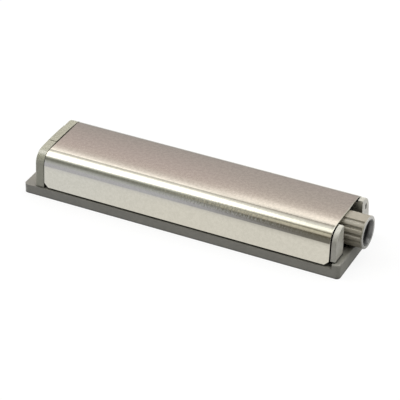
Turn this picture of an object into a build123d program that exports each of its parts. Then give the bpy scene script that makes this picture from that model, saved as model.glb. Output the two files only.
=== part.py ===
from build123d import *
import os
from math import cos, pi, radians, sin, tan

# Touch latch with a magnetic plunger, shown pushed in and held by its heart-shaped track.
# Millimetres. Origin: centre of the mounting face. +X: the way the plunger comes out. +Z: up from the
# mounting face. Every piece sits at its place in the latch.

# Mounting plate
BASE_LENGTH = 80.3
BASE_WIDTH = 20.5
PLATE_THICKNESS = 2.3
PLATE_CORNER_RADIUS = 0.9
REAR_FOOT_LENGTH = 2.9
LIP_LENGTH = 1.85
LIP_RISE = 1.3
LIP_EDGE_RADIUS = 0.45
END_WALL_THICKNESS = 2.25
END_WALL_EDGE_RADIUS = 0.35
PARTING_LINE_WIDTH = 0.25
PARTING_LINE_DEPTH = 0.15
PARTING_LINE_OFFSET = 3.1

# Countersunk screw holes, reached once the latch body is off the plate
SCREW_SPACING = 50.0
SCREW_HOLE_RADIUS = 1.9
SCREW_HEAD_RADIUS = 3.6

# Hooks of the plate, which rise through the housing's floor
HOOK_SPACING = 40.0
HOOK_LENGTH = 3.0
HOOK_THICKNESS = 1.0
HOOK_REACH = 0.4
HOOK_HEIGHT = 0.9
HOOK_OFFSET = 6.3
HOOK_CLEARANCE = 0.1

# Folded steel cover
SHEET_THICKNESS = 0.45
COVER_TOP = 11.4
COVER_CROWN_RADIUS = 100.0
COVER_FOOT_WIDTH = 19.7
COVER_TAPER = 4.0
COVER_BEND_RADIUS = 3.3
COVER_REAR_GAP = 0.05
REAR_HOLLOW_WIDTH = 13.0
REAR_HOLLOW_DEPTH = 0.4
COVER_LIP_GAP = 0.92
COVER_LEDGE_GAP = 0.25
COVER_CORNER_CUT = 1.1
TAB_SPACING = 46.0
TAB_LENGTH = 6.0
TAB_REACH = 1.3

# Moulded housing
COVER_CLEARANCE = 0.25
TAB_CLEARANCE = 0.1
END_WALL_CLEARANCE = 0.15
LIP_CLEARANCE = 0.1
CHEEK_PROUD = 1.5
CHEEK_INSET = 0.1
CHEEK_COVER_GAP = 0.35
CHEEK_LIP_GAP = 0.3
CHEEK_EDGE_RADIUS = 0.25
CORNER_RELIEF_MARGIN = 0.3
CHANNEL_WIDTH = 10.7
CHANNEL_FLOOR = 0.6
FLOOR_THICKNESS = 1.2
CAVITY_WIDTH = 14.8
REAR_WALL_THICKNESS = 1.3
RIM_GAP = 0.7
GUIDE_WALL_THICKNESS = 4.0
RAIL_THICKNESS = 0.7
RAIL_HEIGHT = 1.5
CHEEK_DIMPLE_RADIUS = 0.35
CHEEK_DIMPLE_LENGTH = 1.5
CHEEK_DIMPLE_DEPTH = 0.3

# Plunger: fluted sleeve, magnet and slider
PLUNGER_AXIS_HEIGHT = 7.2
PLUNGER_REACH = 3.75
STROKE_OUT = 16.0
STROKE_IN = 2.2
SLEEVE_RADIUS = 3.8
SLEEVE_LENGTH = 34.2
SLEEVE_BORE_RADIUS = 2.95
SLEEVE_FLAT = 3.5
SLEEVE_WEB = 1.5
RING_RADIUS = 3.88
RING_LENGTH = 0.4
RING_EDGE_CUT = 0.2
RIB_COUNT = 14
GROOVE_WIDTH = 0.75
GROOVE_DEPTH = 0.42
GUIDE_CLEARANCE = 0.1
SCOOP_CLEARANCE = 0.3
MAGNET_RECESS = 1.2
MAGNET_THICKNESS = 4.0
POLE_PLATE_THICKNESS = 1.2
SLIDER_LENGTH = 28.4
SLIDER_WIDTH = 8.6
SLIDER_EDGE_RADIUS = 0.8
SLIDER_FLOOR_CLEARANCE = 0.12
SLIDER_TOP_CLEARANCE = 0.4
RAIL_CLEARANCE = 0.15
SPIGOT_LENGTH = 5.6
SPIGOT_END_THICKNESS = 1.8
SPRING_BORE_RADIUS = 2.35

# Spring and its rod. Both wires are drawn with flat sides, few enough to keep the model light.
WIRE_SIDES = 8
SPRING_WIRE_RADIUS = 0.3
SPRING_MEAN_RADIUS = 1.75
SPRING_TURNS = 14
SPRING_CLOSED_GAP = 0.08
SPRING_POINTS_PER_TURN = 12
ROD_RADIUS = 1.1
ROD_HEAD_RADIUS = 2.3
ROD_HEAD_THICKNESS = 0.8
ROD_SEAT_DEPTH = 0.5
ROD_SEAT_CLEARANCE = 0.05
ROD_END_GAP = 3.6

# Heart-shaped track in the slider's side and the wire that runs in it
FOLLOWER_WIRE_RADIUS = 0.4
FOLLOWER_REAR_X = -26.0
FOLLOWER_FRONT_X = 2.0
FOLLOWER_BEND_RADIUS = 0.9
FOLLOWER_SIDE_GAP = 0.9
FOLLOWER_HOLE_DEPTH = 1.1
FOLLOWER_CLEARANCE = 0.06
TRACK_DEPTH = 0.95
TRACK_WALL_CLEARANCE = 0.15
HEART_LENGTH = 5.2
HEART_HALF_HEIGHT = 1.35
HEART_LOBE_RADIUS = 0.7
HEART_TIP_RADIUS = 0.25
NOTCH_CLEARANCE = 0.08
LEAF_THICKNESS = 0.2
LEAF_HEIGHT = 3.0
LEAF_FOOT_LENGTH = 5.0
LEAF_ARM_LENGTH = 9.0
LEAF_TIP_LENGTH = 2.0
LEAF_BEND_RADIUS = 1.0
LEAF_TIP_GAP = 0.05

# Stations along X
BASE_FRONT_X = BASE_LENGTH / 2
LIP_REAR_X = BASE_FRONT_X - LIP_LENGTH
END_WALL_REAR_X = REAR_FOOT_LENGTH - BASE_LENGTH / 2
END_WALL_FRONT_X = END_WALL_REAR_X + END_WALL_THICKNESS
COVER_REAR_X = END_WALL_FRONT_X + COVER_REAR_GAP
COVER_FRONT_X = LIP_REAR_X - COVER_LIP_GAP
HOUSING_REAR_X = END_WALL_FRONT_X + END_WALL_CLEARANCE
CHEEK_REAR_X = COVER_FRONT_X + CHEEK_COVER_GAP
CHEEK_FRONT_X = COVER_FRONT_X + CHEEK_PROUD
CAVITY_REAR_X = HOUSING_REAR_X + REAR_WALL_THICKNESS
RING_FRONT_X = CHEEK_FRONT_X + PLUNGER_REACH
SLEEVE_REAR_X = RING_FRONT_X - SLEEVE_LENGTH
SLIDER_REAR_X = SLEEVE_REAR_X - SLIDER_LENGTH
GUIDE_REAR_X = SLEEVE_REAR_X + STROKE_OUT + GUIDE_CLEARANCE
GUIDE_FRONT_X = GUIDE_REAR_X + GUIDE_WALL_THICKNESS
MAGNET_FRONT_X = RING_FRONT_X - MAGNET_RECESS
MAGNET_REAR_X = MAGNET_FRONT_X - MAGNET_THICKNESS
POLE_PLATE_REAR_X = MAGNET_REAR_X - POLE_PLATE_THICKNESS
WEB_REAR_X = POLE_PLATE_REAR_X - SLEEVE_WEB
SPIGOT_FRONT_X = SLEEVE_REAR_X + SPIGOT_LENGTH
SPRING_FRONT_X = SPIGOT_FRONT_X - SPIGOT_END_THICKNESS
ROD_REAR_X = CAVITY_REAR_X - ROD_SEAT_DEPTH
SPRING_REAR_X = ROD_REAR_X + ROD_HEAD_THICKNESS
ROD_FRONT_X = SPRING_FRONT_X - ROD_END_GAP

# Heights and widths
LIP_TOP = PLATE_THICKNESS + LIP_RISE
FLOOR_TOP = PLATE_THICKNESS + FLOOR_THICKNESS
COVER_BOTTOM = PLATE_THICKNESS + COVER_LEDGE_GAP
COVER_INSIDE_TOP = COVER_TOP - SHEET_THICKNESS
HOUSING_RIM = COVER_INSIDE_TOP - RIM_GAP
TAB_TOP = COVER_BOTTOM + SHEET_THICKNESS
SLIDER_HALF_WIDTH = SLIDER_WIDTH / 2
CAVITY_HALF_WIDTH = CAVITY_WIDTH / 2
FOLLOWER_Y = -(SLIDER_HALF_WIDTH + FOLLOWER_SIDE_GAP + FOLLOWER_WIRE_RADIUS)
ABOVE_ALL = COVER_TOP + 1.0


def cover_half_width(height):
    """Half the cover's outer width at a height above the mounting face."""
    return COVER_FOOT_WIDTH / 2 - (height - COVER_BOTTOM) * tan(radians(COVER_TAPER))


def hood_section(inset, bottom):
    """The cover's section, moved inwards by inset and cut off at bottom: a slightly crowned top, round
    shoulders and tapered sides."""
    top = COVER_TOP - inset
    side_inset = inset / cos(radians(COVER_TAPER))
    half_foot = cover_half_width(bottom) - side_inset
    half_top = cover_half_width(top) - side_inset
    corners = [(-half_foot, bottom), (-half_top, top), (half_top, top), (half_foot, bottom)]
    crown = Pos(0, COVER_TOP - COVER_CROWN_RADIUS) * Circle(COVER_CROWN_RADIUS - inset)
    section = make_face(Polyline(*corners, close=True)) & crown
    shoulders = section.vertices().sort_by(Axis.Y)[-2:]
    return fillet(shoulders, COVER_BEND_RADIUS - inset)


def along_x(section, start, end):
    """A section drawn in Y and Z, run along X from start to end."""
    return extrude(Plane.YZ.offset(start) * section, amount=end - start)


def block(x_range, y_range, z_range):
    """A box between two values on each axis."""
    size = [high - low for low, high in (x_range, y_range, z_range)]
    low_corner = Pos(x_range[0], y_range[0], z_range[0])
    return low_corner * Box(*size, align=(Align.MIN, Align.MIN, Align.MIN))


def rod_x(radius, start, end):
    """A round bar on the plunger's axis."""
    section = Pos(0, PLUNGER_AXIS_HEIGHT) * Circle(radius)
    return along_x(section, start, end)


def countersunk_hole(x):
    """The space of one screw: a plain hole with a 90 degree countersink, seen from above."""
    sink_depth = SCREW_HEAD_RADIUS - SCREW_HOLE_RADIUS
    from_below = (Align.CENTER, Align.CENTER, Align.MIN)
    shank = Pos(x, 0, 0) * Cylinder(SCREW_HOLE_RADIUS, PLATE_THICKNESS, align=from_below)
    sink = Cone(SCREW_HOLE_RADIUS, SCREW_HEAD_RADIUS, sink_depth, align=from_below)
    return shank + Pos(x, 0, PLATE_THICKNESS - sink_depth) * sink


def hook(x, side):
    """One hook: a post through the housing's floor with a barb that points outwards over it."""
    barb_bottom = FLOOR_TOP + HOOK_CLEARANCE
    barb_top = barb_bottom + HOOK_HEIGHT
    inner = HOOK_OFFSET - HOOK_THICKNESS / 2
    outer = HOOK_OFFSET + HOOK_THICKNESS / 2
    tip = outer + HOOK_REACH
    corners = [(inner, 0), (outer, 0), (outer, barb_bottom), (tip, barb_bottom), (outer, barb_top), (inner, barb_top)]
    section = make_face(Polyline(*[(side * y, z) for y, z in corners], close=True))
    return along_x(section, x - HOOK_LENGTH / 2, x + HOOK_LENGTH / 2)


def hook_places():
    """Place along X and side of each hook."""
    return [(x, side) for x in (-HOOK_SPACING / 2, HOOK_SPACING / 2) for side in (-1, 1)]


def build_base_plate():
    """Plate with the end wall behind, the lip in front, the hooks and the screw holes."""
    outline = RectangleRounded(BASE_LENGTH, BASE_WIDTH, PLATE_CORNER_RADIUS)
    lip_space = block((LIP_REAR_X, BASE_FRONT_X), (-BASE_WIDTH / 2, BASE_WIDTH / 2), (0, LIP_TOP))
    lip = extrude(outline, amount=LIP_TOP) & lip_space
    lip_edges = lip.edges().group_by(Axis.Z)[-1].sort_by(Axis.X)[1:]
    lip = fillet(lip_edges, LIP_EDGE_RADIUS)
    wall = along_x(hood_section(0, 0), END_WALL_REAR_X, END_WALL_FRONT_X)
    wall_edges = wall.faces().sort_by(Axis.X)[0].edges().sort_by(Axis.Z)[1:]
    wall = fillet(wall_edges, END_WALL_EDGE_RADIUS)
    base = extrude(outline, amount=PLATE_THICKNESS) + lip + wall
    for x, side in hook_places():
        base += hook(x, side)
    for x in (-SCREW_SPACING / 2, SCREW_SPACING / 2):
        base -= countersunk_hole(x)
    base -= rod_x(RING_RADIUS + SCOOP_CLEARANCE, LIP_REAR_X, BASE_FRONT_X)
    line_y = (-PARTING_LINE_OFFSET - PARTING_LINE_WIDTH, -PARTING_LINE_OFFSET)
    line_z = (COVER_TOP - PARTING_LINE_DEPTH, ABOVE_ALL)
    return base - block((END_WALL_REAR_X, END_WALL_FRONT_X), line_y, line_z)


def tab_places():
    """Place along X and side of each tab."""
    return [(x, side) for x in (-TAB_SPACING / 2, TAB_SPACING / 2) for side in (-1, 1)]


def rear_edge_hollow():
    """The slight hollow in the rear edge of the cover's top, the cap of a wide circle."""
    radius = (REAR_HOLLOW_WIDTH**2 / 4 + REAR_HOLLOW_DEPTH**2) / (2 * REAR_HOLLOW_DEPTH)
    circle = Pos(COVER_REAR_X + REAR_HOLLOW_DEPTH - radius, 0) * Circle(radius)
    level = Plane.XY.offset(COVER_TOP - COVER_BEND_RADIUS)
    return extrude(level * circle, amount=COVER_BEND_RADIUS + SHEET_THICKNESS)


def build_steel_cover():
    """One sheet folded to a channel, its lower corners cut off and four tabs turned in under the housing."""
    outside = along_x(hood_section(0, COVER_BOTTOM), COVER_REAR_X, COVER_FRONT_X)
    cover = outside - along_x(hood_section(SHEET_THICKNESS, 0), COVER_REAR_X, COVER_FRONT_X)
    half = BASE_WIDTH / 2
    for end_x, inwards in ((COVER_REAR_X, 1), (COVER_FRONT_X, -1)):
        along = (end_x + inwards * COVER_CORNER_CUT, COVER_BOTTOM)
        up = (end_x, COVER_BOTTOM + COVER_CORNER_CUT)
        corner = make_face(Polyline((end_x, COVER_BOTTOM), along, up, close=True))
        cover -= extrude(Plane.XZ * corner, amount=half, both=True)
    cover -= rear_edge_hollow()
    wall_y = cover_half_width(COVER_BOTTOM) - SHEET_THICKNESS / 2
    tip_y = wall_y - SHEET_THICKNESS / 2 - TAB_REACH
    for x, side in tab_places():
        across = sorted((side * tip_y, side * wall_y))
        cover += block((x - TAB_LENGTH / 2, x + TAB_LENGTH / 2), across, (COVER_BOTTOM, TAB_TOP))
    return cover


def build_latch_housing():
    """Tub with a wide cavity, a saddle for the sleeve and two cheeks at the front, whose shoulders stop the
    cover's front edge."""
    inset = SHEET_THICKNESS + COVER_CLEARANCE
    housing = along_x(hood_section(inset, PLATE_THICKNESS), HOUSING_REAR_X, CHEEK_REAR_X)
    cheeks = along_x(hood_section(CHEEK_INSET, PLATE_THICKNESS), CHEEK_REAR_X, CHEEK_FRONT_X)
    front_edges = cheeks.faces().sort_by(Axis.X)[-1].edges().sort_by(Axis.Z)[1:]
    housing += fillet(front_edges, CHEEK_EDGE_RADIUS)
    wide = (-BASE_WIDTH / 2, BASE_WIDTH / 2)
    cavity_y = (-CAVITY_HALF_WIDTH, CAVITY_HALF_WIDTH)
    channel_y = (-CHANNEL_WIDTH / 2, CHANNEL_WIDTH / 2)
    housing -= block((CAVITY_REAR_X, GUIDE_REAR_X), cavity_y, (FLOOR_TOP, ABOVE_ALL))
    channel_z = (PLATE_THICKNESS + CHANNEL_FLOOR, ABOVE_ALL)
    housing -= block((GUIDE_FRONT_X, CHEEK_FRONT_X), channel_y, channel_z)
    housing -= block((HOUSING_REAR_X, GUIDE_REAR_X), wide, (HOUSING_RIM, ABOVE_ALL))
    # The step that lets the cheeks stand over the lip of the plate
    cheek_bottom = LIP_TOP + CHEEK_LIP_GAP
    housing -= block((LIP_REAR_X - LIP_CLEARANCE, CHEEK_FRONT_X), wide, (0, cheek_bottom))
    # The rebate along each side for the cover's tabs, and the hollows behind its cut corners
    rebate_y = cover_half_width(COVER_BOTTOM) - SHEET_THICKNESS - TAB_REACH - TAB_CLEARANCE
    corner_top = COVER_BOTTOM + COVER_CORNER_CUT
    corner_length = COVER_CORNER_CUT + CORNER_RELIEF_MARGIN
    undercuts = [
        ((HOUSING_REAR_X, CHEEK_REAR_X), TAB_TOP + TAB_CLEARANCE),
        ((HOUSING_REAR_X, COVER_REAR_X + corner_length), corner_top),
        ((COVER_FRONT_X - corner_length, CHEEK_REAR_X), corner_top),
        ((CHEEK_REAR_X, LIP_REAR_X), cheek_bottom),
    ]
    for side in (-1, 1):
        across = sorted((side * rebate_y, side * BASE_WIDTH / 2))
        for x_range, top in undercuts:
            housing -= block(x_range, across, (0, top))
    # The saddle is open at the top, where the cover closes it
    saddle = SLEEVE_RADIUS + GUIDE_CLEARANCE
    housing -= rod_x(saddle, GUIDE_REAR_X, GUIDE_FRONT_X)
    housing -= block((GUIDE_REAR_X, GUIDE_FRONT_X), (-saddle, saddle), (PLUNGER_AXIS_HEIGHT, ABOVE_ALL))
    housing -= rod_x(ROD_HEAD_RADIUS + ROD_SEAT_CLEARANCE, ROD_REAR_X, CAVITY_REAR_X)
    rail_y = SLIDER_HALF_WIDTH + RAIL_CLEARANCE
    for side in (-1, 1):
        across = sorted((side * rail_y, side * (rail_y + RAIL_THICKNESS)))
        housing += block((CAVITY_REAR_X, GUIDE_REAR_X), across, (PLATE_THICKNESS, FLOOR_TOP + RAIL_HEIGHT))
    for x, side in hook_places():
        inner = HOOK_OFFSET - HOOK_THICKNESS / 2 - HOOK_CLEARANCE
        outer = HOOK_OFFSET + HOOK_THICKNESS / 2 + HOOK_CLEARANCE
        reach = HOOK_LENGTH / 2 + HOOK_CLEARANCE
        housing -= block((x - reach, x + reach), sorted((side * inner, side * outer)), (0, FLOOR_TOP))
    housing -= follower_hole()
    return housing - cheek_dimple()


def follower_hole():
    """Blind hole in the housing's side wall for the wire's rear end."""
    radius = FOLLOWER_WIRE_RADIUS + FOLLOWER_CLEARANCE
    end_y = -(CAVITY_HALF_WIDTH + FOLLOWER_HOLE_DEPTH)
    side_on = Plane(origin=(FOLLOWER_REAR_X, end_y, PLUNGER_AXIS_HEIGHT), z_dir=(0, 1, 0))
    return extrude(side_on * Circle(radius), amount=FOLLOWER_HOLE_DEPTH)


def cheek_dimple():
    """Small upright recess in the front of the far cheek."""
    y = (CHANNEL_WIDTH / 2 + cover_half_width(PLUNGER_AXIS_HEIGHT)) / 2
    z = PLUNGER_AXIS_HEIGHT + CHEEK_DIMPLE_LENGTH
    outline = Pos(y, z) * SlotOverall(CHEEK_DIMPLE_LENGTH, 2 * CHEEK_DIMPLE_RADIUS, rotation=90)
    return along_x(outline, CHEEK_FRONT_X - CHEEK_DIMPLE_DEPTH, CHEEK_FRONT_X)


def fluted_section():
    """The sleeve's section: ribs between narrow grooves, with a flat above and below."""
    outer = SLEEVE_RADIUS + GROOVE_DEPTH
    half = GROOVE_WIDTH / 2 * (outer - SLEEVE_RADIUS + GROOVE_DEPTH) / GROOVE_DEPTH
    groove = make_face(Polyline((SLEEVE_RADIUS - GROOVE_DEPTH, 0), (outer, half), (outer, -half), close=True))
    section = Circle(SLEEVE_RADIUS) & Rectangle(3 * SLEEVE_RADIUS, 2 * SLEEVE_FLAT)
    for place in range(RIB_COUNT):
        section -= Rot(0, 0, 90 + place * 360 / RIB_COUNT) * groove
    return Pos(0, PLUNGER_AXIS_HEIGHT) * section


def build_plunger_sleeve():
    """Fluted sleeve with the plain ring in front, the magnet's pocket and the bore for the slider."""
    ring = rod_x(RING_RADIUS, RING_FRONT_X - RING_LENGTH, RING_FRONT_X)
    ring = chamfer(ring.edges().sort_by(Axis.X)[-1:], RING_EDGE_CUT)
    sleeve = along_x(fluted_section(), SLEEVE_REAR_X, RING_FRONT_X - RING_LENGTH) + ring
    sleeve -= rod_x(SLEEVE_BORE_RADIUS, POLE_PLATE_REAR_X, RING_FRONT_X)
    return sleeve - rod_x(SLEEVE_BORE_RADIUS, SLEEVE_REAR_X, WEB_REAR_X)


def build_magnet():
    """Disc magnet, set back in the ring."""
    return rod_x(SLEEVE_BORE_RADIUS, MAGNET_REAR_X, MAGNET_FRONT_X)


def build_pole_plate():
    """Steel disc behind the magnet."""
    return rod_x(SLEEVE_BORE_RADIUS, POLE_PLATE_REAR_X, MAGNET_REAR_X)


def heart_track():
    """The track's section in X and Z: a loop round a heart, and a tail that the wire comes in by."""
    channel = 2 * (FOLLOWER_WIRE_RADIUS + TRACK_WALL_CLEARANCE)
    lobe_x = FOLLOWER_FRONT_X - FOLLOWER_WIRE_RADIUS - HEART_LOBE_RADIUS
    lobe_z = HEART_HALF_HEIGHT - HEART_LOBE_RADIUS
    tip_x = FOLLOWER_FRONT_X - HEART_LENGTH
    lobes = Pos(lobe_x, lobe_z) * Circle(HEART_LOBE_RADIUS) + Pos(lobe_x, -lobe_z) * Circle(HEART_LOBE_RADIUS)
    tip = Pos(tip_x, 0) * Circle(HEART_TIP_RADIUS)
    heart = make_hull((lobes + tip).edges())
    heart -= Pos(FOLLOWER_FRONT_X, 0) * Circle(FOLLOWER_WIRE_RADIUS + NOTCH_CLEARANCE)
    wide_lobe = HEART_LOBE_RADIUS + channel
    wide_x = lobe_x + STROKE_IN + FOLLOWER_WIRE_RADIUS
    wide = Pos(wide_x, lobe_z) * Circle(wide_lobe) + Pos(wide_x, -lobe_z) * Circle(wide_lobe)
    loop = make_hull((wide + Pos(tip_x, 0) * Circle(HEART_TIP_RADIUS + channel)).edges())
    tail_rear = FOLLOWER_FRONT_X - STROKE_OUT - channel / 2
    tail = Pos((tail_rear + tip_x) / 2, 0) * Rectangle(tip_x - tail_rear, channel)
    tail += Pos(tail_rear, 0) * Circle(channel / 2)
    return Pos(0, PLUNGER_AXIS_HEIGHT) * (loop + tail - heart)


def build_cam_slider():
    """Block that slides on the housing's floor, with a spigot in the sleeve and the spring's bore."""
    bottom = FLOOR_TOP + SLIDER_FLOOR_CLEARANCE
    top = COVER_INSIDE_TOP - SLIDER_TOP_CLEARANCE
    section = Pos(0, (bottom + top) / 2) * RectangleRounded(SLIDER_WIDTH, top - bottom, SLIDER_EDGE_RADIUS)
    slider = along_x(section, SLIDER_REAR_X, SLEEVE_REAR_X)
    slider += rod_x(SLEEVE_BORE_RADIUS, SLEEVE_REAR_X, SPIGOT_FRONT_X)
    slider -= rod_x(SPRING_BORE_RADIUS, SLIDER_REAR_X, SPRING_FRONT_X)
    near_side = Plane(origin=(0, -SLIDER_HALF_WIDTH, 0), x_dir=(1, 0, 0), z_dir=(0, -1, 0))
    return slider - extrude(near_side * heart_track(), amount=-TRACK_DEPTH)


def wire_along(path, radius, across):
    """A wire of one thickness that follows a path. Across is the axis that turns its first flat side."""
    start = Plane(origin=path @ 0, x_dir=across, z_dir=path % 0)
    return sweep(start * RegularPolygon(radius, WIRE_SIDES), path=path, transition=Transition.RIGHT)


def coil_point(turn):
    """A point on the coil's centre line, whose first and last turns lie closed against the next ones."""
    rear = SPRING_REAR_X + SPRING_WIRE_RADIUS
    front = SPRING_FRONT_X - SPRING_WIRE_RADIUS
    closed_pitch = 2 * SPRING_WIRE_RADIUS + SPRING_CLOSED_GAP
    open_pitch = (front - rear - 2 * closed_pitch) / (SPRING_TURNS - 2)
    open_turns = min(max(turn - 1, 0), SPRING_TURNS - 2)
    x = rear + closed_pitch * (turn - open_turns) + open_pitch * open_turns
    angle = 2 * pi * turn
    return (x, SPRING_MEAN_RADIUS * cos(angle), PLUNGER_AXIS_HEIGHT + SPRING_MEAN_RADIUS * sin(angle))


def build_drive_spring():
    """Compression coil between the rod's head and the end of the slider's bore."""
    steps = SPRING_TURNS * SPRING_POINTS_PER_TURN
    points = [coil_point(step / SPRING_POINTS_PER_TURN) for step in range(steps + 1)]
    return wire_along(Polyline(*points), SPRING_WIRE_RADIUS, (0, 1, 0))


def build_spring_guide_rod():
    """Straight rod with a flat head that seats in the housing's rear wall."""
    return rod_x(ROD_HEAD_RADIUS, ROD_REAR_X, SPRING_REAR_X) + rod_x(ROD_RADIUS, SPRING_REAR_X, ROD_FRONT_X)


def build_cam_follower():
    """Wire with one end turned out into the side wall and the other turned in to the track."""
    outer_y = -(CAVITY_HALF_WIDTH + FOLLOWER_HOLE_DEPTH - FOLLOWER_CLEARANCE)
    inner_y = -(SLIDER_HALF_WIDTH - TRACK_DEPTH + FOLLOWER_CLEARANCE)
    z = PLUNGER_AXIS_HEIGHT
    rear = [(FOLLOWER_REAR_X, outer_y, z), (FOLLOWER_REAR_X, FOLLOWER_Y, z)]
    front = [(FOLLOWER_FRONT_X, FOLLOWER_Y, z), (FOLLOWER_FRONT_X, inner_y, z)]
    path = FilletPolyline(*rear, *front, radius=FOLLOWER_BEND_RADIUS)
    return wire_along(path, FOLLOWER_WIRE_RADIUS, (1, 0, 0))


def build_follower_leaf():
    """Bent strip on the side wall whose arm bears on the wire beside the track."""
    wall_y = -CAVITY_HALF_WIDTH + LEAF_THICKNESS / 2
    touch_y = FOLLOWER_Y - FOLLOWER_WIRE_RADIUS - LEAF_TIP_GAP - LEAF_THICKNESS / 2
    touch_x = FOLLOWER_FRONT_X - FOLLOWER_BEND_RADIUS - LEAF_TIP_LENGTH
    heel_x = touch_x - LEAF_ARM_LENGTH
    tip_y = touch_y - (touch_y - wall_y) / 2
    points = [(heel_x - LEAF_FOOT_LENGTH, wall_y), (heel_x, wall_y), (touch_x, touch_y)]
    strip = FilletPolyline(*points, (touch_x + LEAF_TIP_LENGTH, tip_y), radius=LEAF_BEND_RADIUS)
    level = Plane.XY.offset(PLUNGER_AXIS_HEIGHT - LEAF_HEIGHT / 2)
    return extrude(level * trace(strip, LEAF_THICKNESS), amount=LEAF_HEIGHT)


PARTS = {
    "base_plate": build_base_plate,
    "steel_cover": build_steel_cover,
    "latch_housing": build_latch_housing,
    "plunger_sleeve": build_plunger_sleeve,
    "magnet": build_magnet,
    "pole_plate": build_pole_plate,
    "cam_slider": build_cam_slider,
    "drive_spring": build_drive_spring,
    "spring_guide_rod": build_spring_guide_rod,
    "cam_follower": build_cam_follower,
    "follower_leaf": build_follower_leaf,
}

os.makedirs("parts", exist_ok=True)
for node, build in PARTS.items():
    export_step(build(), f"parts/{node}.step")
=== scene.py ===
from math import asin, atan2, cos, pi, radians, sin, sqrt, tan

import bmesh
import bpy
from mathutils import Matrix, Vector


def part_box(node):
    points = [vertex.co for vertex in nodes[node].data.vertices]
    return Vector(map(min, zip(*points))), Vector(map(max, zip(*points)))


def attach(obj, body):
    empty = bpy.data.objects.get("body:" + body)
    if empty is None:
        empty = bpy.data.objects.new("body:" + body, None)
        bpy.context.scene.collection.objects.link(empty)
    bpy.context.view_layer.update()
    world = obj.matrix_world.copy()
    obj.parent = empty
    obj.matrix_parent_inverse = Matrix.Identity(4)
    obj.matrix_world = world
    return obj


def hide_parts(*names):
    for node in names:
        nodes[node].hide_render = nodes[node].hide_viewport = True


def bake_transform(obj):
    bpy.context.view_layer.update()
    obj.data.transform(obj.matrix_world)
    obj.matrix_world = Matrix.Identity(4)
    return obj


# Looks of the touch latch: finer meshes for its cover, sleeve and spring, its materials, the light and the
# camera. Lengths are in metres and in the part's own frame: +X is the way the plunger comes out, and +Z is
# up from the mounting face.

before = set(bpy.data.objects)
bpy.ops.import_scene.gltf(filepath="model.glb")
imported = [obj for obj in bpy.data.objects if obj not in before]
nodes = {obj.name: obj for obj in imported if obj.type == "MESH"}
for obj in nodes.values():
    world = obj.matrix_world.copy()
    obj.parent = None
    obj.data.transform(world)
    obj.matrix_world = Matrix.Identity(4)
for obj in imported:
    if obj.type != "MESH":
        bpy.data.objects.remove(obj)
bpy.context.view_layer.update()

MM = 0.001

# Camera, found from the latch's straight edges in the photograph
CAMERA_AZIMUTH = radians(26.383)
CAMERA_ELEVATION = radians(33.469)
CAMERA_DISTANCE = 474.29 * MM
CAMERA_LENS = 184.2
CAMERA_SENSOR = 36.0
CAMERA_RIGHT = 0.780 * MM
CAMERA_UP = 2.780 * MM
CAMERA_CLIP_START = 10 * MM

# Folded steel cover
SHEET = 0.45 * MM
COVER_TAPER = radians(4.0)
COVER_BEND_RADIUS = 3.3 * MM
COVER_CROWN_RADIUS = 100.0 * MM
COVER_CORNER_CUT = 1.1 * MM
REAR_HOLLOW_HALF = 6.5 * MM
REAR_HOLLOW_DEPTH = 0.22 * MM
SHEET_EDGE_ROUND = 0.15 * MM
SHEET_EDGE_SEGMENTS = 2
SHEET_EDGE_ANGLE = radians(40)
TAB_SPACING = 46.0 * MM
TAB_LENGTH = 6.0 * MM
TAB_REACH = 1.3 * MM

# Steps of the cover's mesh: up its side, round its bend, over half its crown, along a cut corner and
# along the rest. The bend's centre is found in rounds, each closer than the last.
COVER_SIDE_STEPS = 6
COVER_BEND_STEPS = 48
COVER_CROWN_STEPS = 10
COVER_CUT_STEPS = 4
COVER_LENGTH_STEPS = 12
BEND_CENTRE_ROUNDS = 8

# Fluted sleeve of the plunger. Its rear end narrows to a share of the section over a short length.
SLEEVE_RADIUS = 3.8 * MM
SLEEVE_FLAT = 3.5 * MM
SLEEVE_BORE = 2.95 * MM
SLEEVE_WEB = 1.5 * MM
SLEEVE_END_LENGTH = 0.2 * MM
SLEEVE_END_SHARE = 0.96
SLEEVE_SHARP_ANGLE = radians(35)
RING_LENGTH = 0.4 * MM
RING_EDGE_ROUND = 0.15 * MM
RING_EDGE_STEPS = 3
MOUTH_RADIUS = 3.1 * MM
MOUTH_LENGTH = 0.25 * MM
GROOVE_COUNT = 14
GROOVE_HALF = 0.43 * MM
GROOVE_BOTTOM_HALF = 0.14 * MM
GROOVE_DEPTH = 0.45 * MM
RIB_ROUND = 0.25 * MM
RIB_ROUND_STEPS = 6
RIB_CREST_STEPS = 4

# Drive spring
SPRING_WIRE_RADIUS = 0.3 * MM
SPRING_MEAN_RADIUS = 1.75 * MM
SPRING_TURNS = 14
SPRING_CLOSED_GAP = 0.08 * MM
SPRING_STEPS_PER_TURN = 24
SPRING_WIRE_SIDES = 12
SPRING_SHARP_ANGLE = radians(50)

# Colours, linear
WHITE = (1.0, 1.0, 1.0)
STEEL = (0.635, 0.615, 0.535)
WIRE_STEEL = (0.50, 0.50, 0.51)
PLATE_GREY = (0.265, 0.258, 0.226)
# The end wall's paler grey is painted light: wall and plate are one piece
WALL_PAINTED_LIGHT = (0.375, 0.37, 0.29)
BODY_GREY = (0.55, 0.54, 0.48)
SLEEVE_GREY = (0.365, 0.337, 0.274)
RING_GREY = (0.50, 0.495, 0.465)
# The bore's wall runs from this pale grey at its mouth to the dark grey near the magnet: painted shade
BORE_MOUTH_GREY = (0.56, 0.56, 0.555)
BORE_SHADE_GREY = (0.02, 0.02, 0.02)
MAGNET_BLACK = (0.012, 0.012, 0.013)

# Most values of a noise lie between these. Scales of noise are in cells to the metre.
NOISE_SPAN = (0.3, 0.7)

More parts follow.
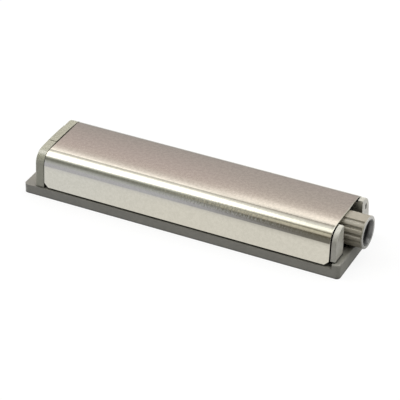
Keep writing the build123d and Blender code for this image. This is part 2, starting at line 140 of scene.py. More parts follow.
# Rolled steel of the cover: its shades vary more on the top, and its bumps are stronger there and
# strongest on the bend
STEEL_MOTTLE_SCALE = 1400
STEEL_CLOUD_SCALE = 160
STEEL_GRAIN_SCALE = 900
STEEL_GRAIN_STRETCH = (0.08, 1, 1)
STEEL_GRAIN_SHARE = 0.5
STEEL_SHADE = 0.99
STEEL_SHADE_SPREAD = 0.07
STEEL_SHADE_SPREAD_ON_TOP = 0.06
STEEL_ROUGHNESS = 0.07
STEEL_ROUGHNESS_SPREAD = 0.05
STEEL_BUMP = 0.09
STEEL_BUMP_ON_TOP = 0.05
STEEL_BUMP_ON_BEND = 0.5
STEEL_BUMP_DEPTH = 0.02 * MM

# Depths below the cover's highest line between which the bend sets in, between which it ends, and
# between which the top sets in
BEND_START = (COVER_BEND_RADIUS + 0.5 * MM, 0.6 * COVER_BEND_RADIUS)
BEND_END = (0.4 * COVER_BEND_RADIUS, 0.15 * COVER_BEND_RADIUS)
TOP_START = (COVER_BEND_RADIUS, 0.5 * MM)

# Plain metal of the inner pieces
METAL_GRAIN_SCALE = 2500
METAL_ROUGHNESS = 0.3
METAL_ROUGHNESS_SPREAD = 0.12
METAL_SHADES = (0.9, 1.1)

# Moulded plastic: the cloudiness and the specks of grain lie between two shades each
PLASTIC_IOR = 1.5
PLASTIC_CLOUD_SCALE = 260
PLASTIC_CLOUD_SHADES = (0.93, 1.05)
PLASTIC_SPECK_SHADES = (0.95, 1.05)
PLASTIC_ROUGHNESS_SPREAD = 0.1
PLASTIC_BUMP = 0.5
# Rays for the painted shade in corners
CREVICE_SHADE_SAMPLES = 8

# Each plastic's roughness, specular level and grain, and its painted shade: corners narrower than reach are
# painted darker, down to darkest, as the share of open sky falls through openness.
PLATE_FINISH_AND_SHADE = {
    "roughness": 0.38, "specular": 0.8, "grain_scale": 1500, "grain_depth": 0.025 * MM,
    "reach": 0.8 * MM, "darkest": 0.10, "openness": (0.4, 0.95), "own_only": False,
}
BODY_FINISH_AND_SHADE = {
    "roughness": 0.24, "specular": 0.8, "grain_scale": 1200, "grain_depth": 0.005 * MM,
    "reach": 3.0 * MM, "darkest": 0.02, "openness": (0.35, 0.85), "own_only": False,
}
SLEEVE_FINISH_AND_SHADE = {
    "roughness": 0.19, "specular": 0.8, "grain_scale": 1200, "grain_depth": 0.005 * MM,
    "reach": 0.5 * MM, "darkest": 0.04, "openness": (0.35, 0.75), "own_only": True,
}
MAGNET_FINISH_AND_SHADE = {
    "roughness": 0.5, "specular": 0.04, "grain_scale": 2500, "grain_depth": 0.01 * MM,
    "reach": 1.0 * MM, "darkest": 0.5, "openness": (0.4, 0.95), "own_only": True,
}

# Where the plate passes into its end wall, which is painted paler as painted light, and how much smoother the
# wall is
WALL_X = (-35.0 * MM, -34.9 * MM)
WALL_Z = (2.35 * MM, 2.6 * MM)
WALL_SMOOTHER = 0.22

# Painted shade in the bore: it fades out from just behind the magnet's face to just behind the ring's face.
# It is darkest on the lower side, and fades out there between two heights from the plunger's axis.
BORE_SHADE_BEHIND_MAGNET = 0.1 * MM
BORE_SHADE_BEHIND_RING = 0.5 * MM
BORE_SHADE_Z = (-2.8 * MM, -0.9 * MM)
BORE_SHADE_CLEAR_SHARE = 0.15

# How far the bore's colour reaches beyond its mouth, and the share of the ring's rounded edge, next to its
# face, that is as pale as the face
MOUTH_FADE = 0.1 * MM
PALE_EDGE_SHARE = 0.3

# The light round the latch, by the angle in degrees about the X axis: 0 is level on the near side, 90 is
# overhead and 180 is level on the far side. The first row is for what lies far behind the rear end, the
# second for what lies a little behind it, and the third for what lies ahead of the plunger.
STUDIO_REAR = [
    (0, (0.64, 0.65, 0.76)),
    (12, (0.60, 0.62, 0.66)),
    (22, (0.50, 0.52, 0.54)),
    (30, (0.34, 0.35, 0.34)),
    (38, (0.26, 0.27, 0.25)),
    (47, (0.28, 0.29, 0.27)),
    (54, (0.58, 0.60, 0.58)),
    (60, (1.15, 1.18, 1.18)),
    (67, (2.00, 2.00, 2.00)),
    (76, (4.50, 4.45, 4.35)),
    (91, (4.50, 4.45, 4.35)),
    (99, (2.20, 2.20, 2.20)),
    (109, (1.50, 1.49, 1.46)),
    (117, (1.00, 0.99, 0.97)),
    (127, (0.80, 0.77, 0.75)),
    (132.5, (0.76, 0.73, 0.71)),
    (134.8, (1.68, 1.62, 1.59)),
    (136.6, (1.75, 1.66, 1.64)),
    (138, (0.82, 0.73, 0.72)),
    (140, (0.72, 0.61, 0.61)),
    (143, (0.69, 0.59, 0.60)),
    (147, (0.62, 0.54, 0.55)),
    (152, (0.54, 0.49, 0.50)),
    (180, (0.45, 0.42, 0.43)),
]
STUDIO_FRONT = [
    (0, (0.19, 0.18, 0.16)),
    (12, (0.18, 0.17, 0.14)),
    (20, (0.14, 0.13, 0.10)),
    (26, (0.15, 0.13, 0.10)),
    (32, (0.58, 0.54, 0.46)),
    (38, (0.74, 0.70, 0.61)),
    (49, (0.78, 0.74, 0.63)),
    (54, (0.38, 0.36, 0.29)),
    (60, (0.28, 0.26, 0.20)),
    (67, (1.15, 1.13, 1.05)),
    (75, (1.62, 1.62, 1.56)),
    (90, (1.62, 1.62, 1.56)),
    (98, (1.10, 1.10, 1.07)),
    (108, (0.98, 0.97, 0.96)),
    (118, (0.82, 0.79, 0.78)),
    (128, (0.53, 0.50, 0.47)),
    (134.8, (0.55, 0.52, 0.50)),
    (136.3, (1.10, 1.05, 1.02)),
    (137.3, (1.80, 1.68, 1.64)),
    (138.1, (1.80, 1.68, 1.64)),
    (139.5, (0.92, 0.82, 0.80)),
    (142, (0.70, 0.62, 0.61)),
    (147, (0.60, 0.54, 0.54)),
    (152, (0.57, 0.51, 0.52)),
    (180, (0.45, 0.42, 0.43)),
]
STUDIO_AHEAD = [
    (0, (0.24, 0.24, 0.23)),
    (60, (0.24, 0.24, 0.23)),
    (84, (0.60, 0.60, 0.58)),
    (92, (2.60, 2.60, 2.55)),
    (134, (2.60, 2.60, 2.55)),
    (139, (0.90, 0.90, 0.88)),
    (144, (0.80, 0.79, 0.78)),
    (159, (0.80, 0.79, 0.78)),
    (180, (0.40, 0.40, 0.40)),
]

# The shares of a direction along X over which one row passes into the next, and over which the light
# from straight ahead dims
STUDIO_FRONT_X = (-0.385, -0.33)
STUDIO_AHEAD_X = (-0.20, 0.15)
STUDIO_DIM_X = (0.25, 0.75)
STUDIO_DIM = 0.8

# Floor: most of what is seen of it is its own light, so that shadows stay faint. For the light it throws
# back on the latch it is a grey. It lies a hair below the latch, whose underside would otherwise lie in
# the same plane.
FLOOR_SIZE = 4.0
FLOOR_DROP = 0.02 * MM
FLOOR_WHITE_SHARE = 0.85
FLOOR_SEEN = (0.97, 0.97, 0.97)
FLOOR_LIGHT = (0.25, 0.25, 0.25)

# What glossy faces see: the white paper under the latch, then beyond its near edge the darker table
PAPER_REAR = (1.04, 1.05, 1.08)
PAPER_FRONT = (1.10, 1.08, 1.06)
PAPER_X = (-40 * MM, 0.0)
PAPER_EDGE_Y = (-30.0 * MM, -22.0 * MM)
TABLE_REAR = (0.68, 0.69, 0.80)
TABLE_FRONT = (0.19, 0.18, 0.16)
TABLE_X = (-6 * MM, 44 * MM)
TABLE_SLANT = 0.4

# A painted shadow of the object on the paper ahead of the plate, as its own glossy faces show it
SHADE_START_X = (38.5 * MM, 40.0 * MM)
SHADE_END_X = (46 * MM, 52 * MM)
SHADE_SIDE_Y = (9 * MM, 13 * MM)
SHADE_GREY = (0.35, 0.35, 0.35)


def rgba(colour):
    """The colour, fully opaque."""
    return (*colour, 1)


class NodeTree:
    """Adds nodes to the tree of a material or of the world. An input's value is a number, a colour or
    another node's output."""

    def __init__(self, owner):
        owner.use_nodes = True
        self.tree = owner.node_tree
        self.tree.nodes.clear()

    def add(self, kind, inputs=(), **settings):
        node = self.tree.nodes.new(kind)
        for name, value in settings.items():
            setattr(node, name, value)
        for name, value in dict(inputs).items():
            if isinstance(value, bpy.types.NodeSocket):
                self.tree.links.new(value, node.inputs[name])
            else:
                node.inputs[name].default_value = value
        return node

    def math(self, operation, *values):
        return self.add("ShaderNodeMath", dict(enumerate(values)), operation=operation).outputs[0]

    def plus_share(self, value, other, share):
        """The value, and a share of the other value on top of it."""
        return self.math("ADD", value, self.math("MULTIPLY", other, share))

    def step(self, value, low, high, to_low=0.0, to_high=1.0):
        """Smooth change from to_low to to_high while value goes from low to high."""
        inputs = {"Value": value, "From Min": low, "From Max": high, "To Min": to_low, "To Max": to_high}
        node = self.add("ShaderNodeMapRange", inputs, interpolation_type="SMOOTHSTEP")
        return node.outputs["Result"]

    def mix(self, factor, first, second, blend="MIX"):
        """Mix of two colours. The node's colour inputs are numbers 6 and 7."""
        inputs = {0: factor, 6: first, 7: second}
        return self.add("ShaderNodeMix", inputs, data_type="RGBA", blend_type=blend).outputs[2]

    def shaded(self, colour, shade):
        """The colour times a number, which darkens or lightens it."""
        inputs = {"Red": shade, "Green": shade, "Blue": shade}
        grey = self.add("ShaderNodeCombineColor", inputs).outputs[0]
        return self.mix(1.0, colour, grey, "MULTIPLY")

    def ramp(self, value, stops):
        """Colour by value, through stops that each give a value and its colour."""
        node = self.add("ShaderNodeValToRGB", {"Fac": value})
        elements = node.color_ramp.elements
        while len(elements) > 1:
            elements.remove(elements[-1])
        for place, (position, colour) in enumerate(stops):
            element = elements[0] if place == 0 else elements.new(position)
            element.position = position
            element.color = rgba(colour)
        return node.outputs["Color"]

    def split(self, vector):
        """The parts of a vector, by the names X, Y and Z."""
        return self.add("ShaderNodeSeparateXYZ", {"Vector": vector}).outputs

    def place(self):
        """Where a point of the piece lies in the latch at rest: it keeps its value when the piece moves."""
        return self.add("ShaderNodeTexCoord").outputs["Object"]

    def noise(self, scale, detail=2.0, roughness=0.5, stretch=(1, 1, 1)):
        """Noise over the piece. A small part of stretch draws it out along that axis."""
        mapped = self.add("ShaderNodeMapping", {"Vector": self.place(), "Scale": stretch}).outputs["Vector"]
        inputs = {"Vector": mapped, "Scale": scale, "Detail": detail, "Roughness": roughness}
        return self.add("ShaderNodeTexNoise", inputs).outputs["Fac"]

    def crevice_shade(self, finish_and_shade):
        """Painted shade: falls from 1 on open faces to the given darkest in corners narrower than the given
        reach. Own_only leaves out the shade of other pieces, for what moves past them."""
        inputs = {"Color": rgba(WHITE), "Distance": finish_and_shade["reach"]}
        settings = {"samples": CREVICE_SHADE_SAMPLES, "only_local": finish_and_shade["own_only"]}
        open_share = self.add("ShaderNodeAmbientOcclusion", inputs, **settings).outputs["AO"]
        return self.step(open_share, *finish_and_shade["openness"], finish_and_shade["darkest"], 1.0)

    def bump(self, height, strength, depth):
        """The surface's normal, tilted by the slopes of a height."""
        inputs = {"Height": height, "Strength": strength, "Distance": depth}
        return self.add("ShaderNodeBump", inputs).outputs["Normal"]

    def surface(self, inputs):
        """The material's shader and its output."""
        shader = self.add("ShaderNodeBsdfPrincipled", inputs)
        self.add("ShaderNodeOutputMaterial", {"Surface": shader.outputs[0]})


def place_camera():
    """Sets the camera off to the side and up, so that the latch lies in the picture as in the photograph."""
    level = cos(CAMERA_ELEVATION)
    back = Vector((sin(CAMERA_AZIMUTH) * level, -cos(CAMERA_AZIMUTH) * level, sin(CAMERA_ELEVATION)))
    right = Vector((cos(CAMERA_AZIMUTH), sin(CAMERA_AZIMUTH), 0))
    up = back.cross(right)
    camera = bpy.data.objects.new("camera", bpy.data.cameras.new("camera"))
    bpy.context.scene.collection.objects.link(camera)
    camera.data.lens = CAMERA_LENS
    camera.data.sensor_width = CAMERA_SENSOR
    camera.data.clip_start = CAMERA_CLIP_START
    place = CAMERA_DISTANCE * back + CAMERA_RIGHT * right + CAMERA_UP * up
    camera.matrix_world = Matrix.Translation(place) @ Matrix((right, up, back)).transposed().to_4x4()
    bpy.context.scene.camera = camera


def link_mesh(mesh, name):
    """Turns the finished mesh into an object of the scene, shaded smooth."""
    bmesh.ops.recalc_face_normals(mesh, faces=mesh.faces)
    data = bpy.data.meshes.new(name)
    mesh.to_mesh(data)
    mesh.free()
    data.shade_smooth()
    piece = bpy.data.objects.new(name, data)
    bpy.context.scene.collection.objects.link(piece)
    return piece


def join_loops(mesh, loops):
    """Joins each closed loop of points to the next, and closes the first and the last."""
    for first, second in zip(loops, loops[1:]):
        for place in range(len(first)):
            following = (place + 1) % len(first)
            mesh.faces.new((first[place], first[following], second[following], second[place]))
    mesh.faces.new(loops[0])
    mesh.faces.new(loops[-1])


def cover_half_width(height):
    """Half the cover's outer width at a height above the mounting face."""
    low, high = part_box("steel_cover")
    return high.y - (height - low.z) * tan(COVER_TAPER)


def bend_centre():
    """The far bend's centre, as offset and height. It keeps its distance to the side, and to the crown's
    centre."""
    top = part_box("steel_cover")[1].z
    reach = COVER_CROWN_RADIUS - COVER_BEND_RADIUS
    centre_z = top - COVER_BEND_RADIUS
    for _ in range(BEND_CENTRE_ROUNDS):
        centre_y = cover_half_width(centre_z) - COVER_BEND_RADIUS / cos(COVER_TAPER)
        centre_z = top - COVER_CROWN_RADIUS + sqrt(reach**2 - centre_y**2)
    return centre_y, centre_z


def cover_section(inset, bottom):
    """Points of the cover's section from the near lower edge over the top to the far one, each with
    its place and height."""
    crown_radius = COVER_CROWN_RADIUS - inset
    crown_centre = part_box("steel_cover")[1].z - COVER_CROWN_RADIUS
    bend_radius = COVER_BEND_RADIUS - inset
    centre_y, centre_z = bend_centre()
    side_inset = inset / cos(COVER_TAPER)
    tangent_z = centre_z + bend_radius * sin(COVER_TAPER)
    half = []
    for step in range(COVER_SIDE_STEPS):
        height = bottom + (tangent_z - bottom) * step / COVER_SIDE_STEPS
        half.append((-(cover_half_width(height) - side_inset), height))
    bend_start = pi / 2 - COVER_TAPER
    bend_end = asin(centre_y / (COVER_CROWN_RADIUS - COVER_BEND_RADIUS))
    for step in range(COVER_BEND_STEPS + 1):
        angle = bend_start + (bend_end - bend_start) * step / COVER_BEND_STEPS
        half.append((-(centre_y + bend_radius * sin(angle)), centre_z + bend_radius * cos(angle)))
    for step in range(1, COVER_CROWN_STEPS):
        angle = bend_end * (1 - step / COVER_CROWN_STEPS)
        half.append((-crown_radius * sin(angle), crown_centre + crown_radius * cos(angle)))
    middle = [(0.0, crown_centre + crown_radius)]
    return half + middle + [(-y, z) for y, z in reversed(half)]


def cover_stations():
    """Places along X for the cover's sections: close together at the cut corners."""
    low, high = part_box("steel_cover")
    cut = [COVER_CORNER_CUT * step / COVER_CUT_STEPS for step in range(COVER_CUT_STEPS + 1)]
    run = (high.x - low.x - 2 * COVER_CORNER_CUT) / COVER_LENGTH_STEPS
    middle = [low.x + COVER_CORNER_CUT + run * step for step in range(1, COVER_LENGTH_STEPS)]
    return [low.x + way for way in cut] + middle + [high.x - way for way in reversed(cut)]


def cover_skin(mesh, inset):
    """One skin of the sheet, with its lower corners cut and its rear edge hollowed: a row of points for
    each station."""
    low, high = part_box("steel_cover")
    rows = []
    for x in cover_stations():
        from_end = min(x - low.x, high.x - x)
        bottom = low.z + max(COVER_CORNER_CUT - from_end, 0)
        fade = max(1 - (x - low.x) / COVER_CORNER_CUT, 0)
        row = []
        for y, z in cover_section(inset, bottom):
            hollow = REAR_HOLLOW_DEPTH * max(1 - (y / REAR_HOLLOW_HALF) ** 2, 0)
            row.append(mesh.verts.new((x + hollow * fade, y, z)))
        rows.append(row)
    return rows


def join_skins(mesh, outer, inner):
    """Faces of the two skins, and of the edge all round."""
    last_row = len(outer) - 1
    last = len(outer[0]) - 1
    for a in range(last_row):
        for b in range(last):
            mesh.faces.new((outer[a][b], outer[a + 1][b], outer[a + 1][b + 1], outer[a][b + 1]))
            mesh.faces.new((inner[a][b], inner[a][b + 1], inner[a + 1][b + 1], inner[a + 1][b]))
        for b in (0, last):
            mesh.faces.new((outer[a][b], inner[a][b], inner[a + 1][b], outer[a + 1][b]))
    for a in (0, last_row):
        for b in range(last):
            mesh.faces.new((outer[a][b], outer[a][b + 1], inner[a][b + 1], inner[a][b]))


def add_cover_tabs(mesh):
    """The small tabs turned in under the latch, two on each side."""
    low_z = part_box("steel_cover")[0].z
    foot_y = cover_half_width(low_z) - SHEET / 2
    for side in (-1, 1):
        for x in (-TAB_SPACING / 2, TAB_SPACING / 2):
            middle = Vector((x, side * (foot_y - TAB_REACH / 2), low_z + SHEET / 2))
            size = Matrix.Diagonal((TAB_LENGTH, TAB_REACH + SHEET / 2, SHEET, 1))
            bmesh.ops.create_cube(mesh, size=1, matrix=Matrix.Translation(middle) @ size)


def build_cover():
    """The folded sheet with rounded cut edges."""
    mesh = bmesh.new()
    outer = cover_skin(mesh, 0.0)
    inner = cover_skin(mesh, SHEET)
    join_skins(mesh, outer, inner)
    add_cover_tabs(mesh)
    cover = link_mesh(mesh, "folded_cover")
    bevel = cover.modifiers.new("edges", "BEVEL")
    bevel.width = SHEET_EDGE_ROUND
    bevel.segments = SHEET_EDGE_SEGMENTS
    bevel.limit_method = "ANGLE"
    bevel.angle_limit = SHEET_EDGE_ANGLE
    bevel.harden_normals = True
    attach(cover, "latch_body")
    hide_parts("steel_cover")
    return cover


def plunger_axis_z():
    """Height of the plunger's axis above the mounting face."""
    low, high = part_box("magnet")
    return (low.z + high.z) / 2


def groove_half_profile():
    """Half a groove from its bottom out to the rib, as pairs of way round and depth below the rib."""
    wall_tilt = atan2(GROOVE_DEPTH, GROOVE_HALF - GROOVE_BOTTOM_HALF)
    rib_start = GROOVE_HALF + RIB_ROUND * tan(wall_tilt / 2)
    points = [(0.0, GROOVE_DEPTH), (GROOVE_BOTTOM_HALF, GROOVE_DEPTH)]
    for step in range(RIB_ROUND_STEPS + 1):
        tilt = wall_tilt * (1 - step / RIB_ROUND_STEPS)
        points.append((rib_start - RIB_ROUND * sin(tilt), RIB_ROUND * (1 - cos(tilt))))
    return points


def fluted_outline():
    """The sleeve's section as pairs of offset from its axis, from the top all the way round. The grooves
    that would lie in its two flats are left out."""
    half = groove_half_profile()
    profile = [(-along, depth) for along, depth in reversed(half)] + half[1:]
    reach = half[-1][0] / SLEEVE_RADIUS
    pitch = 2 * pi / GROOVE_COUNT
    outline = []
    for groove in range(GROOVE_COUNT):
        middle = groove * pitch
        in_flat = groove % (GROOVE_COUNT // 2) == 0
        for along, depth in profile:
            radius = SLEEVE_RADIUS - (0 if in_flat else depth)
            angle = middle + along / SLEEVE_RADIUS
            outline.append((radius * sin(angle), radius * cos(angle)))
        for step in range(1, RIB_CREST_STEPS):
            angle = middle + reach + (pitch - 2 * reach) * step / RIB_CREST_STEPS
            outline.append((SLEEVE_RADIUS * sin(angle), SLEEVE_RADIUS * cos(angle)))
    return [(y, max(-SLEEVE_FLAT, min(SLEEVE_FLAT, z))) for y, z in outline]


def build_sleeve():
    """The plunger's sleeve: rounded ribs, the plain ring and its mouth, and the two bores."""
    low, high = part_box("plunger_sleeve")
    pocket_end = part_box("pole_plate")[0].x
    axis_z = plunger_axis_z()
    ring_radius = high.z - axis_z
    ring_rear = high.x - RING_LENGTH
    ribs = fluted_outline()
    turns = [atan2(y, z) for y, z in ribs]
    mesh = bmesh.new()

    def circle(x, radius):
        return [mesh.verts.new((x, radius * sin(turn), axis_z + radius * cos(turn))) for turn in turns]

    def fluted(x, share):
        return [mesh.verts.new((x, share * y, axis_z + share * z)) for y, z in ribs]

    loops = [
        circle(pocket_end - SLEEVE_WEB, SLEEVE_BORE),
        circle(low.x, SLEEVE_BORE),
        fluted(low.x, SLEEVE_END_SHARE),
        fluted(low.x + SLEEVE_END_LENGTH, 1.0),
        fluted(ring_rear, 1.0),
        circle(ring_rear, ring_radius),
    ]
    for step in range(RING_EDGE_STEPS + 1):
        angle = pi / 2 * step / RING_EDGE_STEPS
        x = high.x - RING_EDGE_ROUND * (1 - sin(angle))
        loops.append(circle(x, ring_radius - RING_EDGE_ROUND * (1 - cos(angle))))
    loops.append(circle(high.x, MOUTH_RADIUS))
    loops.append(circle(high.x - MOUTH_LENGTH, SLEEVE_BORE))
    loops.append(circle(pocket_end, SLEEVE_BORE))
    join_loops(mesh, loops)
    sleeve = link_mesh(mesh, "fluted_sleeve")
    sleeve.data.set_sharp_from_angle(angle=SLEEVE_SHARP_ANGLE)
    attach(sleeve, "plunger")
    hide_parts("plunger_sleeve")
    return sleeve


def coil_point(turn, rear, front):
    """A point on the spring's centre line, and the direction there from the axis outward. The first and
    last turns lie closed against the next ones."""
    closed_pitch = 2 * SPRING_WIRE_RADIUS + SPRING_CLOSED_GAP
    open_pitch = (front - rear - 2 * closed_pitch) / (SPRING_TURNS - 2)
    open_turns = min(max(turn - 1, 0), SPRING_TURNS - 2)
    x = rear + closed_pitch * (turn - open_turns) + open_pitch * open_turns
    outward = Vector((0, cos(2 * pi * turn), sin(2 * pi * turn)))
    return Vector((x, 0, plunger_axis_z())) + SPRING_MEAN_RADIUS * outward, outward


def build_spring():
    """Round wire coiled between the rod's head and the slider, at its length at rest. In the latch it
    stretches as the plunger comes out.
    """
    low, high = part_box("drive_spring")
    rear = low.x + SPRING_WIRE_RADIUS
    front = high.x - SPRING_WIRE_RADIUS
    half_step = 0.5 / SPRING_STEPS_PER_TURN
    mesh = bmesh.new()
    loops = []
    for step in range(SPRING_TURNS * SPRING_STEPS_PER_TURN + 1):
        turn = step / SPRING_STEPS_PER_TURN
        centre, outward = coil_point(turn, rear, front)
        ahead = coil_point(turn + half_step, rear, front)[0] - coil_point(turn - half_step, rear, front)[0]
        across = ahead.normalized().cross(outward)
        loop = []
        for side in range(SPRING_WIRE_SIDES):
            angle = 2 * pi * side / SPRING_WIRE_SIDES
            offset = SPRING_WIRE_RADIUS * (cos(angle) * outward + sin(angle) * across)
            loop.append(mesh.verts.new(centre + offset))
        loops.append(loop)
    join_loops(mesh, loops)
    spring = link_mesh(mesh, "coil_spring")
    spring.data.set_sharp_from_angle(angle=SPRING_SHARP_ANGLE)
    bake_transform(spring)
    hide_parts("drive_spring")
    return spring


def steel_sheet():
    """The cover's rolled steel: mottled, faintly grained along its length and nearly a mirror."""
    material = bpy.data.materials.new("cover_steel_finish")
    make = NodeTree(material)
    height = make.split(make.place())["Z"]
    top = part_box("steel_cover")[1].z

    def over(depths, to_low=0.0, to_high=1.0):
        """Smooth change between two depths below the cover's highest line."""
        deep, shallow = depths
        return make.step(height, top - deep, top - shallow, to_low, to_high)

    on_top = over(TOP_START)
    on_bend = make.math("MULTIPLY", over(BEND_START), over(BEND_END, 1.0, 0.0))
    mottle = make.noise(STEEL_MOTTLE_SCALE, detail=3.0, roughness=0.6)
    cloud = make.noise(STEEL_CLOUD_SCALE)
    grain = make.noise(STEEL_GRAIN_SCALE, stretch=STEEL_GRAIN_STRETCH)
    spread = make.plus_share(STEEL_SHADE_SPREAD, on_top, STEEL_SHADE_SPREAD_ON_TOP)
    shade = make.plus_share(STEEL_SHADE, make.step(mottle, *NOISE_SPAN, -0.5, 0.5), spread)
    strength = make.plus_share(STEEL_BUMP, on_top, STEEL_BUMP_ON_TOP)
    strength = make.plus_share(strength, on_bend, STEEL_BUMP_ON_BEND)
    bumps = make.plus_share(mottle, grain, STEEL_GRAIN_SHARE)
    make.surface({
        "Base Color": make.shaded(rgba(STEEL), shade),
        "Metallic": 1.0,
        "Roughness": make.plus_share(STEEL_ROUGHNESS, cloud, STEEL_ROUGHNESS_SPREAD),
        "Normal": make.bump(bumps, strength, STEEL_BUMP_DEPTH),
    })
    return material


def end_wall(make):
    """1 on the plate's end wall and 0 elsewhere."""
    parts = make.split(make.place())
    return make.math("MULTIPLY", make.step(parts["X"], *WALL_X, 1.0, 0.0), make.step(parts["Z"], *WALL_Z))


def sleeve_colour(make, base):
    """The sleeve's colour: the ring's face is paler, and the bore's wall is painted darker towards the magnet
    and on its lower side, as painted shade in the recess."""
    ring_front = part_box("plunger_sleeve")[1].x
    magnet_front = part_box("magnet")[1].x
    parts = make.split(make.place())
    up = make.math("SUBTRACT", parts["Z"], plunger_axis_z())
    across_squared = make.math("MULTIPLY", parts["Y"], parts["Y"])
    up_squared = make.math("MULTIPLY", up, up)
    away = make.math("SQRT", make.math("ADD", across_squared, up_squared))
    in_bore = make.step(away, MOUTH_RADIUS, MOUTH_RADIUS + MOUTH_FADE, 1.0, 0.0)
    # Painted shade in the bore, darker towards the magnet and on the lower side
    towards_mouth = make.step(parts["X"], magnet_front - BORE_SHADE_BEHIND_MAGNET, ring_front - BORE_SHADE_BEHIND_RING)
    less_shaded_higher = make.step(up, *BORE_SHADE_Z, BORE_SHADE_CLEAR_SHARE, 1.0)
    clear = make.math("MULTIPLY", towards_mouth, less_shaded_higher)
    bore = make.mix(clear, rgba(BORE_SHADE_GREY), rgba(BORE_MOUTH_GREY))
    on_face = make.step(parts["X"], ring_front - RING_EDGE_ROUND, ring_front - PALE_EDGE_SHARE * RING_EDGE_ROUND)
    outside = make.mix(on_face, base, rgba(RING_GREY))
    return make.mix(in_bore, outside, bore)


def moulded_plastic(name, colour, finish_and_shade, wall_painted_light=None, sleeve=False):
    """Moulded plastic with a faint cloudiness, a fine grain and painted shade in its corners. The end wall of
    the plate is painted paler, as painted light, and is smoother, and the sleeve's bore is painted darker
    inward, as painted shade, while its ring's face is paler."""
    material = bpy.data.materials.new(name)
    make = NodeTree(material)
    grain = make.noise(finish_and_shade["grain_scale"], roughness=0.6)
    least_rough = finish_and_shade["roughness"] - PLASTIC_ROUGHNESS_SPREAD / 2
    rough = make.plus_share(least_rough, grain, PLASTIC_ROUGHNESS_SPREAD)
    base = rgba(colour)
    if wall_painted_light:
        # Painted light: the end wall is painted paler than the rest of the plate
        wall = end_wall(make)
        base = make.mix(wall, base, rgba(wall_painted_light))
        rough = make.math("SUBTRACT", rough, make.math("MULTIPLY", wall, WALL_SMOOTHER))
    if sleeve:
        base = sleeve_colour(make, base)
    cloud = make.step(make.noise(PLASTIC_CLOUD_SCALE, detail=3.0), *NOISE_SPAN, *PLASTIC_CLOUD_SHADES)
    specks = make.step(grain, *NOISE_SPAN, *PLASTIC_SPECK_SHADES)
    # Painted shade in corners, times the cloudiness and the specks
    shade = make.math("MULTIPLY", make.math("MULTIPLY", cloud, specks), make.crevice_shade(finish_and_shade))
    make.surface({
        "Base Color": make.shaded(base, shade),
        "Roughness": rough,
        "IOR": PLASTIC_IOR,
        "Specular IOR Level": finish_and_shade["specular"],
        "Normal": make.bump(grain, PLASTIC_BUMP, finish_and_shade["grain_depth"]),
    })
    return material


def plain_metal(name, colour):
    """Metal of the inner pieces, with a fine grain."""
    material = bpy.data.materials.new(name)
    make = NodeTree(material)
    grain = make.noise(METAL_GRAIN_SCALE, detail=3.0)
    darker, paler = [rgba([shade * part for part in colour]) for shade in METAL_SHADES]
    least_rough = METAL_ROUGHNESS - METAL_ROUGHNESS_SPREAD / 2
    make.surface({
        "Base Color": make.mix(grain, darker, paler),
        "Metallic": 1.0,
        "Roughness": make.plus_share(least_rough, grain, METAL_ROUGHNESS_SPREAD),
    })
    return material


def light_world():
    """The studio's light by direction. The camera itself sees white."""
    world = bpy.data.worlds.new("studio")
    bpy.context.scene.world = world
    make = NodeTree(world)
    parts = make.split(make.add("ShaderNodeTexCoord").outputs["Generated"])
    level = make.math("MULTIPLY", parts["Y"], -1.0)
    angle = make.math("DIVIDE", make.math("ARCTAN2", parts["Z"], level), pi)
    rows = []
    for stops in (STUDIO_REAR, STUDIO_FRONT, STUDIO_AHEAD):
        rows.append(make.ramp(angle, [(degrees / 180, colour) for degrees, colour in stops]))
    rear, front, ahead = rows
    ahead = make.shaded(ahead, make.step(parts["X"], *STUDIO_DIM_X, 1.0, STUDIO_DIM))
    studio = make.mix(make.step(parts["X"], *STUDIO_FRONT_X), rear, front)
    studio = make.mix(make.step(parts["X"], *STUDIO_AHEAD_X), studio, ahead)
    rays = make.add("ShaderNodeLightPath").outputs
    colour = make.mix(rays["Is Camera Ray"], studio, rgba(WHITE))
    shine = make.add("ShaderNodeBackground", {"Color": colour, "Strength": 1.0})
    make.add("ShaderNodeOutputWorld", {"Surface": shine.outputs[0]})


def floor_in_gloss(make, parts):
    """The colour of the floor in glossy faces: paper, the table beyond it, and a painted shadow of the latch.
    """
    paper = make.mix(make.step(parts["X"], *PAPER_X), rgba(PAPER_REAR), rgba(PAPER_FRONT))
    slant = make.math("SUBTRACT", parts["X"], make.math("MULTIPLY", parts["Y"], TABLE_SLANT))
    table = make.mix(make.step(slant, *TABLE_X), rgba(TABLE_REAR), rgba(TABLE_FRONT))
    seen = make.mix(make.step(parts["Y"], *PAPER_EDGE_Y), table, paper)
    # Painted shadow ahead of the plate
    begun = make.step(parts["X"], *SHADE_START_X)
    not_ended = make.step(parts["X"], *SHADE_END_X, 1.0, 0.0)
    between_sides = make.step(make.math("ABSOLUTE", parts["Y"]), *SHADE_SIDE_Y, 1.0, 0.0)
    shade = make.math("MULTIPLY", make.math("MULTIPLY", begun, not_ended), between_sides)
    return make.mix(shade, seen, rgba(SHADE_GREY))


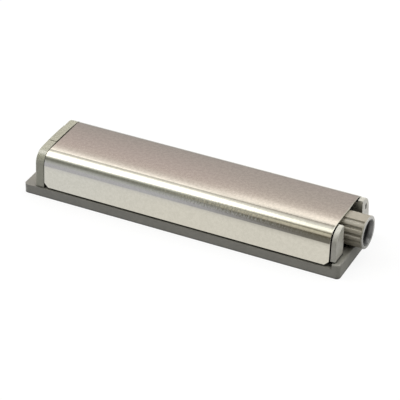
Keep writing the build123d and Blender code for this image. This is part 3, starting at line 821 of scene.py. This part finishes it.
def lay_floor():
    """The floor under the latch, white to the camera."""
    bpy.ops.mesh.primitive_plane_add(size=FLOOR_SIZE, location=(0, 0, -FLOOR_DROP))
    floor = bpy.context.object
    floor.name = "floor"
    material = bpy.data.materials.new("pale_floor")
    make = NodeTree(material)
    parts = make.split(make.add("ShaderNodeNewGeometry").outputs["Position"])
    rays = make.add("ShaderNodeLightPath").outputs
    seen = make.mix(rays["Is Camera Ray"], floor_in_gloss(make, parts), rgba(WHITE))
    paper = make.mix(rays["Is Camera Ray"], rgba(FLOOR_LIGHT), rgba(FLOOR_SEEN))
    diffuse = make.add("ShaderNodeBsdfDiffuse", {"Color": paper}).outputs[0]
    white = make.add("ShaderNodeEmission", {"Color": seen, "Strength": 1.0}).outputs[0]
    looked_at = make.math("MAXIMUM", rays["Is Camera Ray"], rays["Is Glossy Ray"])
    share = make.math("MULTIPLY", looked_at, FLOOR_WHITE_SHARE)
    surface = make.add("ShaderNodeMixShader", {0: share, 1: diffuse, 2: white}).outputs[0]
    make.add("ShaderNodeOutputMaterial", {"Surface": surface})
    floor.data.materials.append(material)


def dress(steel):
    """Gives every shown node its material. Steel is the one of the inner metal pieces."""
    plate = moulded_plastic("base_plastic_finish_and_shade", PLATE_GREY, PLATE_FINISH_AND_SHADE, WALL_PAINTED_LIGHT)
    body = moulded_plastic("body_plastic_finish_and_shade", BODY_GREY, BODY_FINISH_AND_SHADE)
    ferrite = moulded_plastic("magnet_finish_and_shade", MAGNET_BLACK, MAGNET_FINISH_AND_SHADE)
    finishes = {
        "base_plate": plate,
        "latch_housing": body,
        "cam_slider": body,
        "magnet": ferrite,
        "pole_plate": steel,
        "spring_guide_rod": steel,
        "cam_follower": steel,
        "follower_leaf": steel,
    }
    for name, material in finishes.items():
        for slot in nodes[name].material_slots:
            slot.material = material


place_camera()
light_world()
lay_floor()
cover = build_cover()
cover.data.materials.append(steel_sheet())
sleeve = build_sleeve()
sleeve_plastic = moulded_plastic("plunger_plastic_finish_and_shade", SLEEVE_GREY, SLEEVE_FINISH_AND_SHADE, sleeve=True)
sleeve.data.materials.append(sleeve_plastic)
steel = plain_metal("plain_steel_finish", WIRE_STEEL)
spring = build_spring()
spring.data.materials.append(steel)
dress(steel)

scene = bpy.context.scene
scene.view_settings.view_transform = "Standard"
